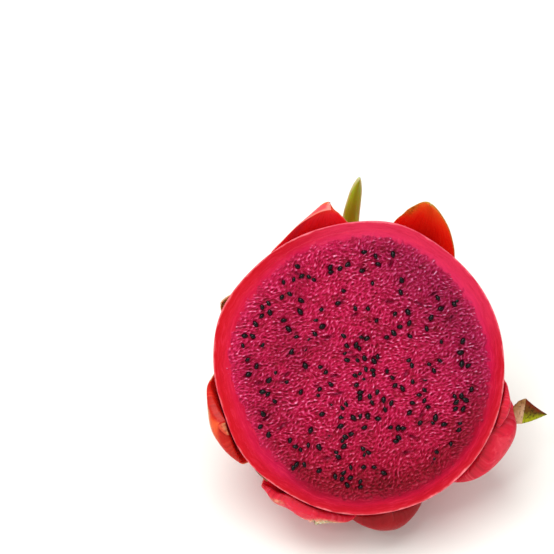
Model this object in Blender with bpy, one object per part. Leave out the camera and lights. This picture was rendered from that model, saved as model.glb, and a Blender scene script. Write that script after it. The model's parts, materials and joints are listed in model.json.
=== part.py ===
"""The stem-end half of a red-fleshed dragon fruit, cut across its middle and resting on its skin.

Every piece is first made in the fruit frame: the cut lies in the plane z = 0 and faces +Z, the stem
is at the far end of -Z, and angles run anticlockwise round Z from +X as seen from in front of the
cut. A latitude is 0 degrees at the cut and 90 at the stem. One parent empty then lays the whole
half down on the floor, with the cut leaning back and facing -Y, and the floor at Z = 0.
"""

from __future__ import annotations

import math
import random
from dataclasses import dataclass, replace

import bmesh
import bpy
import numpy as np
from mathutils import Matrix, Vector

MM = 0.001

# Driving sizes
CUT_RADIUS = 43.0 * MM  # mean radius of the fruit at the cut
DEPTH = 58.0 * MM  # cut face to stem end, along the fruit
FULLNESS = 0.94  # power of the cosine in the dome's profile: under 1 is rounder than an ellipsoid
RIND = 4.6 * MM  # wall between skin and flesh
GAP = 0.3 * MM  # clearance between two pieces that touch
LEAN = math.radians(48.0)  # how far the cut's normal rises above level, before the half settles

# Where the skin swells or dips at the cut: (angle in degrees, spread in degrees, height)
SWELLINGS = (
    (75.0, 15.0, 1.2 * MM),
    (157.0, 16.0, 1.2 * MM),
    (197.0, 13.0, -0.9 * MM),
    (238.0, 16.0, -0.6 * MM),
    (305.0, 22.0, 0.3 * MM),
    (358.0, 20.0, -0.4 * MM),
)

DOME_SEGMENTS = 48  # round the fruit
DOME_RINGS = 12  # from the cut to the stem

SEED_COUNT = 28
SEED_LENGTH = 2.1 * MM
SEED_WIDTH = 1.6 * MM
SEED_THICKNESS = 1.4 * MM
SEED_SHOWS = 0.45 * MM  # how far a seed stands out of the cut
SEED_SPACING = 0.25  # least distance between seeds, as a share of the seeded disc's radius
SEED_MARGIN = 4.5 * MM  # seedless band of flesh beside the rind
SEED_START = 20  # seeds the random placing

STUB_RADIUS = 4.4 * MM
STUB_LENGTH = 6.5 * MM
STUB_SLANT = 0.7 * MM  # unevenness of its broken end
STUB_SIDES = 14

BRACT_ACROSS = 6  # faces across a bract
BRACT_ALONG = 7  # faces along a bract
BRACT_SEAT = 0.45 * MM  # a root's height over the smooth skin, whose facets lie a little below it
EDGE_SHARE = 0.45  # a bract's thickness at its edge, as a share of its middle
TIP_SHARE = 0.5  # and at its tip, as a share of its root
TIP_WIDTH = 0.06  # width of the tip's end, as a share of the root's
TAPER = 0.85  # power of the outline: lower is fuller
HOOK_START = 0.75  # share of the length where a hooked tip begins to turn out


@dataclass(frozen=True)
class Bract:
    """One leaf-like scale: where it grows on the skin and how it stands away from it."""

    name: str
    angle: float  # degrees round the fruit, at the root
    root: float  # latitude in degrees where it springs from the skin
    top: float  # latitude in degrees that its tip reaches
    span: float  # degrees round the fruit that its root takes
    lift: float  # clear height of the tip above the skin
    curl: float = 1.2  # power of the lift along the bract: higher stays low and then turns out
    lean: float = 0.0  # degrees that the tip drifts round the fruit
    blunt: float = 2.0  # power of the taper: 1 is a triangle, 4 is a tongue with a broad end
    hook: float = 0.0  # extra lift of the last quarter, as on a tip that curls out
    cup: float = 0.0  # how far the edges stand above the middle
    thickness: float = 2.0 * MM
    colour: str = "#C8203A"


PINK, RED, ORANGE, GREEN = "#D83A52", "#A8101C", "#DC3A1A", "#8C9440"

# The bracts whose ends show round the cut, anticlockwise from the right
RIM_BRACTS = (
    Bract("bract_right_top", 62, 31, 1.5, 43, 7.0 * MM, 1.3, 6, 2.8, cup=0.6 * MM, colour=ORANGE),
    Bract("bract_spike", 95, 50, 9, 28, 14.0 * MM, 1.7, -4.5, 1.15, cup=1.0 * MM, colour=GREEN),
    Bract("bract_left_top", 113, 27, 2, 38.5, 5.6 * MM, 1.2, -11, 1.9, colour=RED),
    Bract("bract_left", 203, 29, 1, 44.5, 3.6 * MM, 0.8, -2, 4.5, colour=ORANGE),
    Bract("bract_left_low", 249.5, 27, 1.5, 43.5, 3.4 * MM, 0.75, 3, 4.2, thickness=1.8 * MM, colour=PINK),
    Bract("bract_bottom", 276, 40, 10, 41, 5.0 * MM, 0.8, 4, 5.0, colour=RED),
    Bract("bract_right_inner", 335, 24, 1, 42, 2.2 * MM, 0.9, 5, 3.0, thickness=1.6 * MM, colour=RED),
    Bract("bract_right", 327, 36, 3, 50, 5.4 * MM, 0.6, 20, 2.0, 6.0 * MM, thickness=2.2 * MM, colour=PINK),
)

# The bracts of the skin behind them, in the same order
BACK_BRACTS = (
    Bract("bract_back_right", 17, 54, 15, 46, 2.4 * MM, 1.5, -3, 1.8, colour=PINK),
    Bract("bract_back_top", 58, 62, 36, 43, 2.4 * MM, 1.5, 3, 1.7, colour=PINK),
    Bract("bract_back_left", 151, 56, 17, 53, 2.8 * MM, 1.5, 3, 1.8, colour=PINK),
    Bract("bract_low_left", 198, 62, 35, 43, 1.6 * MM, 1.4, -3, 1.7, colour=PINK),
    Bract("bract_under_left", 241, 62, 38, 40.5, 0.5 * MM, 1.2, -2, 1.8, colour=PINK),
    Bract("bract_under_right", 298, 62, 47, 44.5, 0.5 * MM, 1.2, 2, 1.8, colour=PINK),
)

# The row of small thick scales round the stem
SCALE_COUNT = 5
SCALE = Bract("stem_scale", 24, 78, 67, 55, 0.9 * MM, blunt=2.6, thickness=2.2 * MM, colour=PINK)

# Finish of each kind of piece: colour, roughness
RIND_FINISH = ("#D4223C", 0.42)
FLESH_FINISH = ("#A81840", 0.34)
SEED_FINISH = ("#15100F", 0.25)
STUB_FINISH = ("#8A7A4A", 0.85)
BRACT_ROUGHNESS = 0.45


def clear_scene() -> None:
    """Empties the scene, the startup objects included."""
    for thing in list(bpy.data.objects):
        bpy.data.objects.remove(thing)


def linear(code: str) -> tuple[float, ...]:
    """The linear RGBA of a #RRGGBB colour."""
    shares = [int(code[i : i + 2], 16) / 255 for i in (1, 3, 5)]
    rgb = [s / 12.92 if s <= 0.04045 else ((s + 0.055) / 1.055) ** 2.4 for s in shares]
    return (*rgb, 1.0)


def paint(thing: bpy.types.Object, code: str, roughness: float) -> None:
    """Gives a piece its own Principled material."""
    material = bpy.data.materials.new(thing.name)
    material.use_nodes = True
    shader = material.node_tree.nodes["Principled BSDF"]
    shader.inputs["Base Color"].default_value = linear(code)
    shader.inputs["Roughness"].default_value = roughness
    shader.inputs["Metallic"].default_value = 0.0
    material.diffuse_color = linear(code)
    thing.data.materials.append(material)


def swell(angle: float) -> float:
    """How far the skin stands out at the cut, at this angle in radians."""
    total = 0.0
    for centre, spread, height in SWELLINGS:
        away = math.degrees(math.remainder(angle - math.radians(centre), math.tau))
        total += height * math.exp(-((away / spread) ** 2))
    return total


def skin(angle: float, latitude: float, lift: float = 0.0) -> Vector:
    """The point that is `lift` off the skin, at an angle and a latitude in radians."""
    radius = CUT_RADIUS + swell(angle) * math.cos(latitude)
    out = radius * math.cos(latitude) ** FULLNESS
    down = DEPTH * math.sin(latitude)
    normal = Vector((math.cos(latitude) * DEPTH, math.sin(latitude) * radius)).normalized()
    out += lift * normal.x
    down += lift * normal.y
    return Vector((out * math.cos(angle), out * math.sin(angle), -down))


def new_object(name: str, mesh: bmesh.types.BMesh, at: Vector = Vector()) -> bpy.types.Object:
    """Links a smooth-shaded object whose origin is `at`, from a mesh made in the fruit frame."""
    bmesh.ops.translate(mesh, verts=mesh.verts, vec=-at)
    data = bpy.data.meshes.new(name)
    mesh.to_mesh(data)
    mesh.free()
    data.shade_smooth()
    data.set_sharp_from_angle(angle=math.radians(40))
    thing = bpy.data.objects.new(name, data)
    thing.location = at
    bpy.context.scene.collection.objects.link(thing)
    return thing


def subtract(thing: bpy.types.Object, cutter: bpy.types.Object) -> None:
    """Cuts one hidden shape out of a piece."""
    cutter.hide_render = True
    cutter.display_type = "WIRE"
    cut = thing.modifiers.new(cutter.name, "BOOLEAN")
    cut.operation = "DIFFERENCE"
    cut.object = cutter


def dome(name: str, inset: float, whole: bool = False) -> bpy.types.Object:
    """The fruit's body `inset` below the skin, as a half with a flat cut or, as a cutter, whole."""
    mesh = bmesh.new()
    bmesh.ops.create_uvsphere(mesh, u_segments=DOME_SEGMENTS, v_segments=2 * DOME_RINGS, radius=1.0)
    if not whole:
        above = [v for v in mesh.verts if v.co.z > 1e-4]
        bmesh.ops.delete(mesh, geom=above, context="VERTS")
        bmesh.ops.holes_fill(mesh, edges=[e for e in mesh.edges if e.is_boundary])
    for vertex in mesh.verts:
        angle = math.atan2(vertex.co.y, vertex.co.x)
        latitude = math.asin(max(-1.0, min(1.0, -vertex.co.z)))
        point = skin(angle, abs(latitude), -inset)
        if latitude < 0:
            point.z = -point.z
        # The pole and the cut stay exactly on their own axis and plane
        if abs(latitude) < 1e-3:
            point.z = 0.0
        vertex.co = point
    bmesh.ops.recalc_face_normals(mesh, faces=mesh.faces)
    return new_object(name, mesh)


def bract_outline(bract: Bract, along: float) -> float:
    """Half the bract's width at a share of its length: full at the root, narrow at the tip."""
    root = math.hypot(*skin(math.radians(bract.angle), math.radians(bract.root)).xy)
    taper = (1.0 - along**bract.blunt) ** TAPER
    return 0.5 * math.radians(bract.span) * root * max(taper, TIP_WIDTH)


def bract_point(bract: Bract, across: float, along: float) -> Vector:
    """A point of the bract's inner face: `across` runs from -1 to 1 and `along` from 0 to 1."""
    latitude = math.radians(bract.root + (bract.top - bract.root) * along)
    lift = BRACT_SEAT + bract.lift * along**bract.curl
    lift += bract.hook * max(0.0, (along - HOOK_START) / (1.0 - HOOK_START)) ** 1.5
    lift += bract.cup * across**2 * along
    middle = math.radians(bract.angle + bract.lean * along**1.5)
    girth = math.hypot(*skin(middle, latitude, lift).xy)
    angle = middle + across * bract_outline(bract, along) / girth
    return skin(angle, latitude, lift)


def make_bract(bract: Bract) -> bpy.types.Object:
    """One bract: a grid bent over the skin and thickened outwards, thinner at its edge and tip."""
    mesh = bmesh.new()
    bmesh.ops.create_grid(mesh, x_segments=BRACT_ACROSS, y_segments=BRACT_ALONG, size=1.0)
    shares = []
    for vertex in mesh.verts:
        across, along = vertex.co.x, 0.5 * (vertex.co.y + 1.0)
        edge = 1.0 - (1.0 - EDGE_SHARE) * across**2
        shares.append(edge * (1.0 - (1.0 - TIP_SHARE) * along))
        vertex.co = bract_point(bract, across, along)
    middle = mesh.faces[:][len(mesh.faces) // 2]
    mesh.normal_update()
    if middle.normal.dot(middle.calc_center_median() * Vector((1, 1, 0.3))) < 0:
        bmesh.ops.reverse_faces(mesh, faces=mesh.faces)
    thing = new_object(bract.name, mesh, skin(math.radians(bract.angle), math.radians(bract.root)))
    group = thing.vertex_groups.new(name="thickness")
    for index, share in enumerate(shares):
        group.add([index], share, "REPLACE")
    shell = thing.modifiers.new("shell", "SOLIDIFY")
    shell.thickness = bract.thickness
    shell.offset = 1.0
    shell.vertex_group = group.name
    paint(thing, bract.colour, BRACT_ROUGHNESS)
    return thing


def stem_scales() -> list[Bract]:
    """The scales that ring the stem, evenly spaced."""
    turns = [SCALE.angle + index * 360.0 / SCALE_COUNT for index in range(SCALE_COUNT)]
    return [replace(SCALE, name=f"{SCALE.name}_{i + 1}", angle=turn) for i, turn in enumerate(turns)]


def seed_spots() -> list[Vector]:
    """Seed centres in the cut, kept apart from each other, from the rind and from the very middle."""
    choose = random.Random(SEED_START)
    reach = CUT_RADIUS - RIND - SEED_MARGIN
    spots: list[Vector] = []
    while len(spots) < SEED_COUNT:
        distance = reach * math.sqrt(choose.random())
        angle = choose.uniform(0, math.tau)
        spot = Vector((distance * math.cos(angle), distance * math.sin(angle), 0.0))
        apart = all((spot - other).length > SEED_SPACING * reach for other in spots)
        if apart and distance > SEED_LENGTH:
            spots.append(spot)
    return spots


def seed_shape(mesh: bmesh.types.BMesh, spot: Vector, turn: float, grow: float) -> None:
    """Adds one seed, or with `grow` the pit round it, lying in the cut."""
    size = [0.5 * side + grow for side in (SEED_LENGTH, SEED_WIDTH, SEED_THICKNESS)]
    sunk = SEED_SHOWS - 0.5 * SEED_THICKNESS
    place = Matrix.Translation(spot + Vector((0, 0, sunk))) @ Matrix.Rotation(turn, 4, "Z")
    shape = place @ Matrix.Diagonal((*size, 1.0))
    bmesh.ops.create_icosphere(mesh, subdivisions=2, radius=1.0, matrix=shape)


def make_flesh_and_seeds() -> list[bpy.types.Object]:
    """The flesh with a pit for each seed, and the seeds in them."""
    flesh = dome("flesh", RIND + GAP)
    paint(flesh, *FLESH_FINISH)
    choose = random.Random(SEED_START + 1)
    pits = bmesh.new()
    made = [flesh]
    for index, spot in enumerate(seed_spots()):
        turn = choose.uniform(0, math.pi)
        seed_shape(pits, spot, turn, GAP)
        seed = bmesh.new()
        seed_shape(seed, spot, turn, 0.0)
        thing = new_object(f"seed_{index + 1:02d}", seed, spot)
        paint(thing, *SEED_FINISH)
        made.append(thing)
    subtract(flesh, new_object("seed_pits", pits))
    return made


def make_rind() -> bpy.types.Object:
    """The skin and its wall: a hollow dome, open at the cut."""
    rind = dome("rind", 0.0)
    paint(rind, *RIND_FINISH)
    subtract(rind, dome("rind_hollow", RIND, whole=True))
    return rind


def make_stub() -> bpy.types.Object:
    """The dried stump of the stem, waisted and with a broken end."""
    profile = ((0.0, 0.82), (0.45, 0.7), (0.8, 0.92), (1.0, 0.78))  # share of length, of radius
    mesh = bmesh.new()
    rings = []
    for share, width in profile:
        ring = []
        for side in range(STUB_SIDES):
            angle = math.tau * side / STUB_SIDES
            rough = 1.0 + 0.09 * math.sin(3 * angle + 2 * share) + 0.05 * math.sin(5 * angle)
            radius = STUB_RADIUS * width * rough
            down = DEPTH + GAP + STUB_LENGTH * share
            down -= STUB_SLANT * share * (1.0 + math.sin(2 * angle))
            ring.append(mesh.verts.new((radius * math.cos(angle), radius * math.sin(angle), -down)))
        rings.append([mesh.edges.new((ring[i - 1], ring[i])) for i in range(STUB_SIDES)])
    for upper, lower in zip(rings, rings[1:]):
        bmesh.ops.bridge_loops(mesh, edges=upper + lower)
    bmesh.ops.holes_fill(mesh, edges=[e for e in mesh.edges if e.is_boundary])
    bmesh.ops.recalc_face_normals(mesh, faces=mesh.faces)
    stub = new_object("stem_stub", mesh, Vector((0, 0, -DEPTH)))
    paint(stub, *STUB_FINISH)
    return stub


def triangles(thing: bpy.types.Object) -> np.ndarray:
    """The piece's finished triangles in the world, as an array of (triangle, corner, axis)."""
    shown = thing.evaluated_get(bpy.context.evaluated_depsgraph_get())
    mesh = shown.to_mesh()
    mesh.calc_loop_triangles()
    corners = [[shown.matrix_world @ mesh.vertices[i].co for i in t.vertices] for t in mesh.loop_triangles]
    shown.to_mesh_clear()
    return np.array(corners)


def centre_of_mass(corners: np.ndarray) -> Vector:
    """Of closed shapes with one density: each triangle makes a tetrahedron with the origin."""
    volumes = np.linalg.det(corners) / 6.0
    return Vector((corners.sum(axis=1) * volumes[:, None] / 4.0).sum(axis=0) / volumes.sum())


def holds(face: bmesh.types.BMFace, centre: Vector) -> bool:
    """Whether the half would balance on this face of its hull: its centre of mass is over it."""
    loops = zip(face.loops, list(face.loops)[1:] + [face.loops[0]])
    return all((b.vert.co - a.vert.co).cross(centre - a.vert.co).dot(face.normal) > 0 for a, b in loops)


def resting_turn(corners: np.ndarray, wanted: Vector) -> Matrix:
    """The turn that rests the half on the face of its hull that is nearest to facing `wanted`."""
    hull = bmesh.new()
    for point in np.unique(corners.reshape(-1, 3).round(7), axis=0):
        hull.verts.new(point)
    bmesh.ops.convex_hull(hull, input=hull.verts)
    bmesh.ops.delete(hull, geom=[v for v in hull.verts if not v.link_faces], context="VERTS")
    bmesh.ops.recalc_face_normals(hull, faces=hull.faces)
    centre = centre_of_mass(corners)
    stable = [face for face in hull.faces if holds(face, centre)]
    up = -max(stable, key=lambda face: face.normal.dot(wanted)).normal
    hull.free()
    front = Vector((0, 0, 1)) - up * up.z
    back = -front.normalized()
    return Matrix((back.cross(up), back, up)).to_4x4()


def lay_down(pieces: list[bpy.types.Object]) -> None:
    """Parents every piece to one empty that rests the half on the floor, centred on the origin."""
    frame = bpy.data.objects.new("fruit_frame", None)
    bpy.context.scene.collection.objects.link(frame)
    for thing in bpy.data.objects:
        if thing is not frame:
            thing.parent = frame
    bpy.context.view_layer.update()
    corners = np.concatenate([triangles(piece) for piece in pieces])
    turn = resting_turn(corners, Vector((0, -math.cos(LEAN), -math.sin(LEAN))))
    turned = corners.reshape(-1, 3) @ np.array(turn.to_3x3()).T
    low, high = turned.min(axis=0), turned.max(axis=0)
    shift = Vector((-(low[0] + high[0]) / 2, -(low[1] + high[1]) / 2, -low[2]))
    frame.matrix_world = Matrix.Translation(shift) @ turn


def main() -> None:
    """Builds the half."""
    clear_scene()
    pieces = [make_rind(), *make_flesh_and_seeds(), make_stub()]
    pieces += [make_bract(bract) for bract in (*RIM_BRACTS, *BACK_BRACTS, *stem_scales())]
    lay_down(pieces)


main()
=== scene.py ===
"""Looks of the stem-end half of a red-fleshed dragon fruit, cut across and resting on its skin.

Every piece is worked out in the fruit frame, where the cut is the plane z = 0 and faces +Z, the stem
is far down -Z, and angles run anticlockwise from +X as seen from in front of the cut. A latitude is
0 at the cut and 90 degrees at the stem. FruitFrame then puts the points where the half rests.
"""

from __future__ import annotations

import json
import logging
import math
from dataclasses import dataclass, field
from enum import Enum

import bpy
import numpy as np
from mathutils import Matrix, Vector


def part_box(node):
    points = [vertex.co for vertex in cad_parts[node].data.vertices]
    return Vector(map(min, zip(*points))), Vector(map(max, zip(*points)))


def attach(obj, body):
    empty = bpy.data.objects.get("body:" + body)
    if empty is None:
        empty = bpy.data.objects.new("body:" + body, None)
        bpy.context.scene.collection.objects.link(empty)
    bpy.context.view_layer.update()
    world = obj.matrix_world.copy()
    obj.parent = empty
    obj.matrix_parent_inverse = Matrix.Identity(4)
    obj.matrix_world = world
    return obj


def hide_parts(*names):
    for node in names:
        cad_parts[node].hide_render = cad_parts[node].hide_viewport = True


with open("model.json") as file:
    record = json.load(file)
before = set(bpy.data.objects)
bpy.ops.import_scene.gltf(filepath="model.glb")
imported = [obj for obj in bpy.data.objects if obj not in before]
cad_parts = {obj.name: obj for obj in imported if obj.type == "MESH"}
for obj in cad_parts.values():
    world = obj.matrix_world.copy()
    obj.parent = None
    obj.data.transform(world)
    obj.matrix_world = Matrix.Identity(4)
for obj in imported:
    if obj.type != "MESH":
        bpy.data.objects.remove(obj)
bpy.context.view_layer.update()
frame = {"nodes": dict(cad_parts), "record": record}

log = logging.getLogger("dragon_fruit")

MM = 0.001
Array = np.ndarray
Tree = bpy.types.NodeTree
Socket = bpy.types.NodeSocket
Stops = tuple[tuple[float, str], ...]  # places and hex colours
Triples = tuple[tuple[float, float, float], ...]


# --- Colour and node helpers -------------------------------------------------------------------

EASE = {"interpolation_type": "SMOOTHSTEP"}  # makes a MapRange node a smooth step from 0 to 1


def linear(code: str) -> tuple[float, float, float, float]:
    """Turns an sRGB hex colour, such as "#C8203A", into linear red, green, blue and alpha."""
    shares = [int(code[i : i + 2], 16) / 255 for i in (1, 3, 5)]
    rgb = [s / 12.92 if s <= 0.04045 else ((s + 0.055) / 1.055) ** 2.4 for s in shares]
    return (rgb[0], rgb[1], rgb[2], 1.0)


def feed(tree: Tree, socket: Socket, value: object) -> None:
    """Links a socket to an input, or sets the input's own value; a string is a hex colour."""
    if isinstance(value, Socket):
        tree.links.new(value, socket)
    else:
        socket.default_value = linear(value) if isinstance(value, str) else value


def add(tree: Tree, kind: str, *values: object, out: int | str = 0, stops: Stops = (), **settings: object) -> Socket:
    """Adds a shader node with its settings, values and links.

    Args:
        tree: the material's node tree.
        kind: the node's type without its ShaderNode prefix.
        values: what feeds its first inputs in order, or one dict from input to what feeds it.
        out: the output to give.
        stops: the places and hex colours of a colour ramp.
        settings: attributes of the node, such as operation or blend_type.

    Returns:
        One of the node's outputs.
    """
    made = tree.nodes.new("ShaderNode" + kind)
    for key, value in settings.items():
        setattr(made, key, value)
    ins = values[0] if values and isinstance(values[0], dict) else dict(enumerate(values))
    for key, value in ins.items():
        feed(tree, made.inputs[key], value)
    while stops and len(made.color_ramp.elements) < len(stops):
        made.color_ramp.elements.new(0.5)
    for (place, code), point in zip(stops, made.color_ramp.elements if stops else ()):
        point.position, point.color = place, linear(code)
    return made.outputs[out]


def pattern(vector: Socket, size: float, detail: float = 3.0, rough: float = 0.55) -> dict[str, object]:
    """What feeds a noise whose features are about `size` metres, or `size` of the vector's own unit."""
    return {"Vector": vector, "Scale": 1.0 / size, "Detail": detail, "Roughness": rough}


def tint(tree: Tree, under: object, over: object, *shares: object, kind: str = "MIX") -> Socket:
    """Lays one colour over another, by the product of the shares."""
    share, *others = shares
    for other in others:
        share = add(tree, "Math", share, other, operation="MULTIPLY")
    return add(tree, "Mix", {0: share, 6: under, 7: over}, out=2, data_type="RGBA", blend_type=kind)


def washed(tree: Tree, colour: Socket, *washes: tuple) -> Socket:
    """Lays washes over a colour, each as its source goes from low to high.

    Args:
        tree: the material's node tree.
        colour: what lies under them.
        washes: source, low, high, greatest share and colour of each, and its kind if it isn't MIX.

    Returns:
        The colour with its washes.
    """
    for source, low, high, most, over, *kind in washes:
        share = add(tree, "MapRange", source, low, high, **EASE)
        colour = tint(tree, colour, over, share, most, kind=kind[0] if kind else "MIX")
    return colour


# --- The fruit's frame and shape ---------------------------------------------------------------


def smooth(value: Array | float, low: float = 0.0, high: float = 1.0) -> Array:
    """A cubic step from 0 at low to 1 at high."""
    share = np.clip((np.asarray(value, float) - low) / (high - low), 0.0, 1.0)
    return share * share * (3.0 - 2.0 * share)


def ripple(x: Array, y: Array, size: float, start: int, count: int = 18) -> Array:
    """Smooth noise: a sum of sine waves that run in random directions, about 1 in spread.

    Args:
        x, y: the places, as arrays of one shape.
        size: the length of a wave.
        start: seeds the directions.
        count: how many waves.

    Returns:
        The noise at each place.
    """
    rng = np.random.default_rng(start)
    total = np.zeros(np.broadcast(x, y).shape)
    for turn, shift, length in rng.random((count, 3)):
        pace = math.tau / (size * (0.7 + 0.8 * length))
        way = math.tau * turn
        total += np.sin(pace * (np.cos(way) * x + np.sin(way) * y) + math.tau * shift)
    return total / math.sqrt(count / 2)


def bells(angle: Array, mean: float, items: Triples) -> Array:
    """A mean plus bell curves round the fruit.

    Args:
        angle: in radians.
        mean: the value far from every curve.
        items: angle in degrees, spread in degrees and height of each curve.

    Returns:
        The value at each angle.
    """
    total = np.full(np.shape(angle), mean)
    for centre, spread, height in items:
        away = np.degrees(np.angle(np.exp(1j * (angle - math.radians(centre)))))
        total = total + height * np.exp(-((away / spread) ** 2))
    return total


@dataclass(frozen=True)
class FruitFrame:
    """Where the half rests: the cut's centre and normal, and its turn about that normal."""

    centre: Array
    axes: Array  # columns are the fruit frame's X, Y and Z in the world

    @classmethod
    def resting(cls, roll: float = math.radians(1.143)) -> FruitFrame:
        """Reads the cut face's mount.

        Args:
            roll: the half's turn about the cut's normal, in radians.

        Returns:
            The frame of the half at rest.
        """
        mount = next(m for m in frame["record"]["mounts"] if m["name"] == "cut_face")
        normal = np.array(mount["axis"], float)
        side = np.cross((0.0, 0.0, 1.0), normal)
        side /= np.linalg.norm(side)
        rise = np.cross(normal, side)
        across = math.cos(roll) * side + math.sin(roll) * rise
        return cls(np.array(mount["pos_m"], float), np.column_stack((across, np.cross(normal, across), normal)))

    def world(self, points: Array) -> Array:
        """Fruit-frame points in the world."""
        return points @ self.axes.T + self.centre

    def local(self, points: Array) -> Array:
        """World points in the fruit frame."""
        return (points - self.centre) @ self.axes


@dataclass(frozen=True)
class Body:
    """The fruit's smooth skin as a function of angle and latitude, in metres and radians."""

    radius: float = 43.0 * MM
    depth: float = 58.0 * MM
    fullness: float = 0.94
    rind: float = 4.6 * MM
    # (angle in degrees, spread in degrees, height)
    swellings: Triples = (
        (75.0, 15.0, 1.2 * MM),
        (157.0, 16.0, 1.2 * MM),
        (197.0, 13.0, -0.9 * MM),
        (238.0, 16.0, -0.6 * MM),
        (305.0, 22.0, 0.3 * MM),
        (358.0, 20.0, -0.4 * MM),
    )

    def outline(self, angle: Array) -> Array:
        """The cut's radius at an angle: the mean radius plus each swelling's bell curve."""
        return bells(angle, self.radius, self.swellings)

    def skin(self, angle: Array, latitude: Array, lift: Array | float = 0.0) -> Array:
        """Points `lift` off the skin: an ellipsoid whose girth follows a power of the cosine.

        Args:
            angle: round the fruit, in radians.
            latitude: from the cut, in radians.
            lift: distance along the skin's normal.

        Returns:
            Points of the fruit frame, with a last axis of 3.
        """
        angle, latitude, lift = np.broadcast_arrays(angle, latitude, lift)
        level = np.maximum(np.cos(latitude), 1e-4)
        radius = self.radius + (self.outline(angle) - self.radius) * level
        out = radius * level**self.fullness
        down = self.depth * np.sin(latitude)
        steep = np.hypot(level * self.depth, np.sin(latitude) * radius)
        out = out + lift * level * self.depth / steep
        down = down + lift * np.sin(latitude) * radius / steep
        return np.stack((out * np.cos(angle), out * np.sin(angle), -down), axis=-1)

    def girth(self, angle: float, latitude: Array) -> Array:
        """The distance of the skin from the fruit's axis."""
        return np.linalg.norm(self.skin(angle, latitude)[..., :2], axis=-1)


BODY = Body()
PLACE = FruitFrame.resting()
FILM = 2.2 * MM  # how far the flesh's last film runs out over the rind


# --- Meshes from arrays ------------------------------------------------------------------------


@dataclass
class Surface:
    """A closed mesh in the making: points, faces of 4 and 3, and values at the points."""

    points: Array
    quads: Array
    triangles: Array
    values: dict[str, Array] = field(default_factory=dict)
    uv: Array | None = None
    slots: Array | None = None  # material slot of each face, quads first
    flat: Array | None = None  # faces that keep a sharp turn to their neighbours

    def volume(self) -> float:
        """Signed volume: each face makes tetrahedra with the origin."""
        fans = np.concatenate((self.quads[:, :3], self.quads[:, [0, 2, 3]], self.triangles))
        return float(np.linalg.det(self.points[fans]).sum() / 6.0)

    def outward(self) -> Surface:
        """Turns every face round if the surface is inside out."""
        if self.volume() < 0:
            self.quads = self.quads[:, ::-1]
            self.triangles = self.triangles[:, ::-1]
        return self

    def build(self, name: str, materials: list[bpy.types.Material]) -> bpy.types.Object:
        """Makes the object, placed in the world through its mesh.

        Args:
            name: the object's name.
            materials: its material slots.

        Returns:
            The linked object, at the origin.
        """
        self.outward()
        mesh = bpy.data.meshes.new(name)
        corners = np.concatenate((self.quads.ravel(), self.triangles.ravel())).astype(np.int32)
        sizes = np.concatenate((np.full(len(self.quads), 4), np.full(len(self.triangles), 3)))
        mesh.vertices.add(len(self.points))
        mesh.loops.add(len(corners))
        mesh.polygons.add(len(sizes))
        mesh.vertices.foreach_set("co", PLACE.world(self.points).astype(np.float32).ravel())
        mesh.loops.foreach_set("vertex_index", corners)
        mesh.polygons.foreach_set("loop_start", (np.cumsum(sizes) - sizes).astype(np.int32))
        mesh.update(calc_edges=True)
        if self.slots is not None:
            mesh.polygons.foreach_set("material_index", self.slots.astype(np.int32))
        for key, value in self.values.items():
            mesh.attributes.new(key, "FLOAT", "POINT").data.foreach_set("value", value.astype(np.float32).ravel())
        if self.uv is not None:
            mesh.uv_layers.new(name="UVMap").data.foreach_set("uv", self.uv[corners].astype(np.float32).ravel())
        mesh.shade_smooth()
        if self.flat is not None:
            mesh.polygons.foreach_set("use_smooth", ~self.flat)
        mesh.validate()
        thing = bpy.data.objects.new(name, mesh)
        bpy.context.scene.collection.objects.link(thing)
        for material in materials:
            mesh.materials.append(material)
        return thing


def rings(rows: int, columns: int, margin: float = 0.0) -> tuple[Array, Array]:
    """The share of the way along, as a column, and the turn round, as a row.

    Args:
        rows: how many rings.
        columns: points round each.
        margin: the share left out at both ends.

    Returns:
        Shares from 0 to 1 and turns in radians, which broadcast together.
    """
    share = np.linspace(margin, 1.0 - margin, rows)[:, None]
    return share, np.linspace(0.0, math.tau, columns, endpoint=False)[None, :]


def tube(points: Array, values: dict[str, Array] | None = None) -> Surface:
    """A closed surface from rings of points, joined round and capped at both ends with a fan.

    Args:
        points: rows by columns by 3; each row is a ring.
        values: attributes, each rows by columns.

    Returns:
        The surface.
    """
    rows, columns = points.shape[:2]
    index = np.arange(rows * columns).reshape(rows, columns)
    near, far = index[:-1], index[1:]
    quads = np.stack((near, np.roll(near, -1, 1), np.roll(far, -1, 1), far), axis=-1).reshape(-1, 4)
    first, last = rows * columns, rows * columns + 1
    caps = [
        np.stack((np.full(columns, first), np.roll(index[0], -1), index[0]), axis=-1),
        np.stack((np.full(columns, last), index[-1], np.roll(index[-1], -1)), axis=-1),
    ]
    ends = np.stack((points[0].mean(0), points[-1].mean(0)))
    joined = np.concatenate((points.reshape(-1, 3), ends))
    kept = {k: np.concatenate((v.ravel(), [v[0].mean(), v[-1].mean()])) for k, v in (values or {}).items()}
    return Surface(joined, quads, np.concatenate(caps), kept)


def finish_piece(
    shape: Surface, name: str, materials: list[bpy.types.Material], nodes: list[str]
) -> bpy.types.Object:
    """Makes a piece in the place of its CAD nodes, on the one body.

    Args:
        shape: its mesh in the making.
        name: the object's name.
        materials: its material slots.
        nodes: the CAD nodes that it stands for.

    Returns:
        The object.
    """
    piece = shape.build(name, materials)
    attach(piece, "root")
    if nodes:
        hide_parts(*nodes)
    faces = len(piece.data.polygons)
    log.info("%s: %d faces, stands for %s", piece.name, faces, ", ".join(nodes[:3]) or "no node")
    return piece


# --- Finishes ----------------------------------------------------------------------------------


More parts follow.
